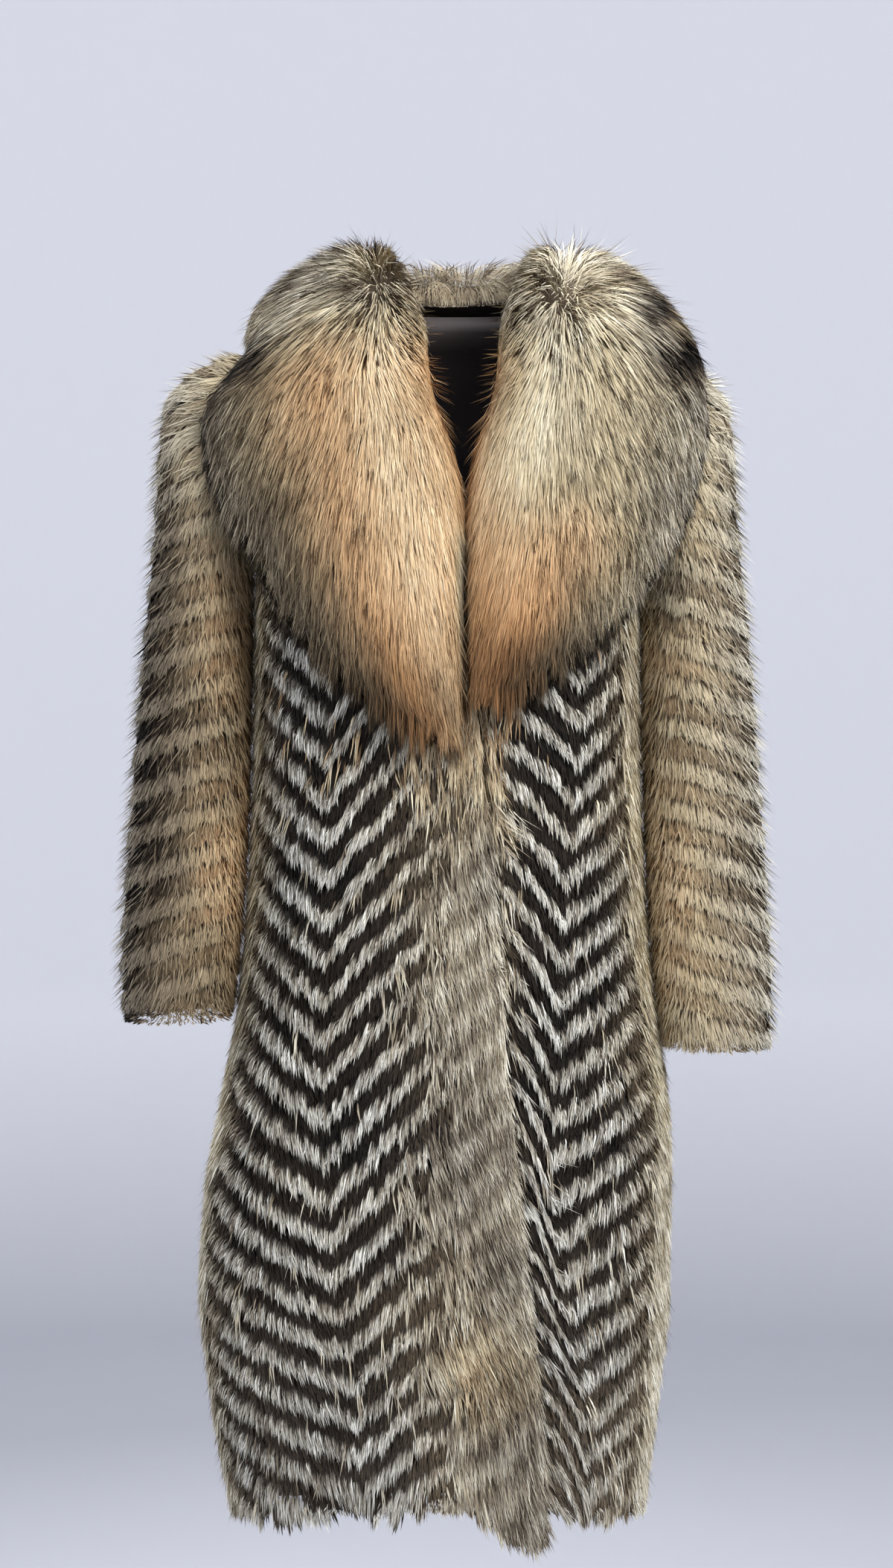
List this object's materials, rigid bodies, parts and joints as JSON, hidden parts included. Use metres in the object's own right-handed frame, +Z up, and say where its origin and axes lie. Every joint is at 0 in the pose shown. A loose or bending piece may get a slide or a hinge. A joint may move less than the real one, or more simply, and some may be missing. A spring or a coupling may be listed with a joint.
{
  "type": "fur coat",
  "caption": "Long fur coat in its hollow worn form, with chevron bands on the body, slanting bands on the sleeves and a deep collar.",
  "frame": {"origin": "middle of the neck opening, where the wearer's neck and shoulders hold the coat up", "axes": "+X towards the wearer's left, -Y out of the front, +Z up along the coat's length"},
  "size_m": [0.6327, 0.4014, 1.2496],
  "materials": {
    "body_fur": "soft",
    "sleeve_fur": "soft",
    "collar_fur": "soft"
  },
  "bodies": {
    "root": {"front_upper": "body_fur", "front_under": "body_fur", "back": "body_fur", "sleeve_right": "sleeve_fur", "sleeve_left": "sleeve_fur", "collar_upper": "collar_fur", "lapel_right": "collar_fur", "lapel_left": "collar_fur"}
  },
  "joints": []
}
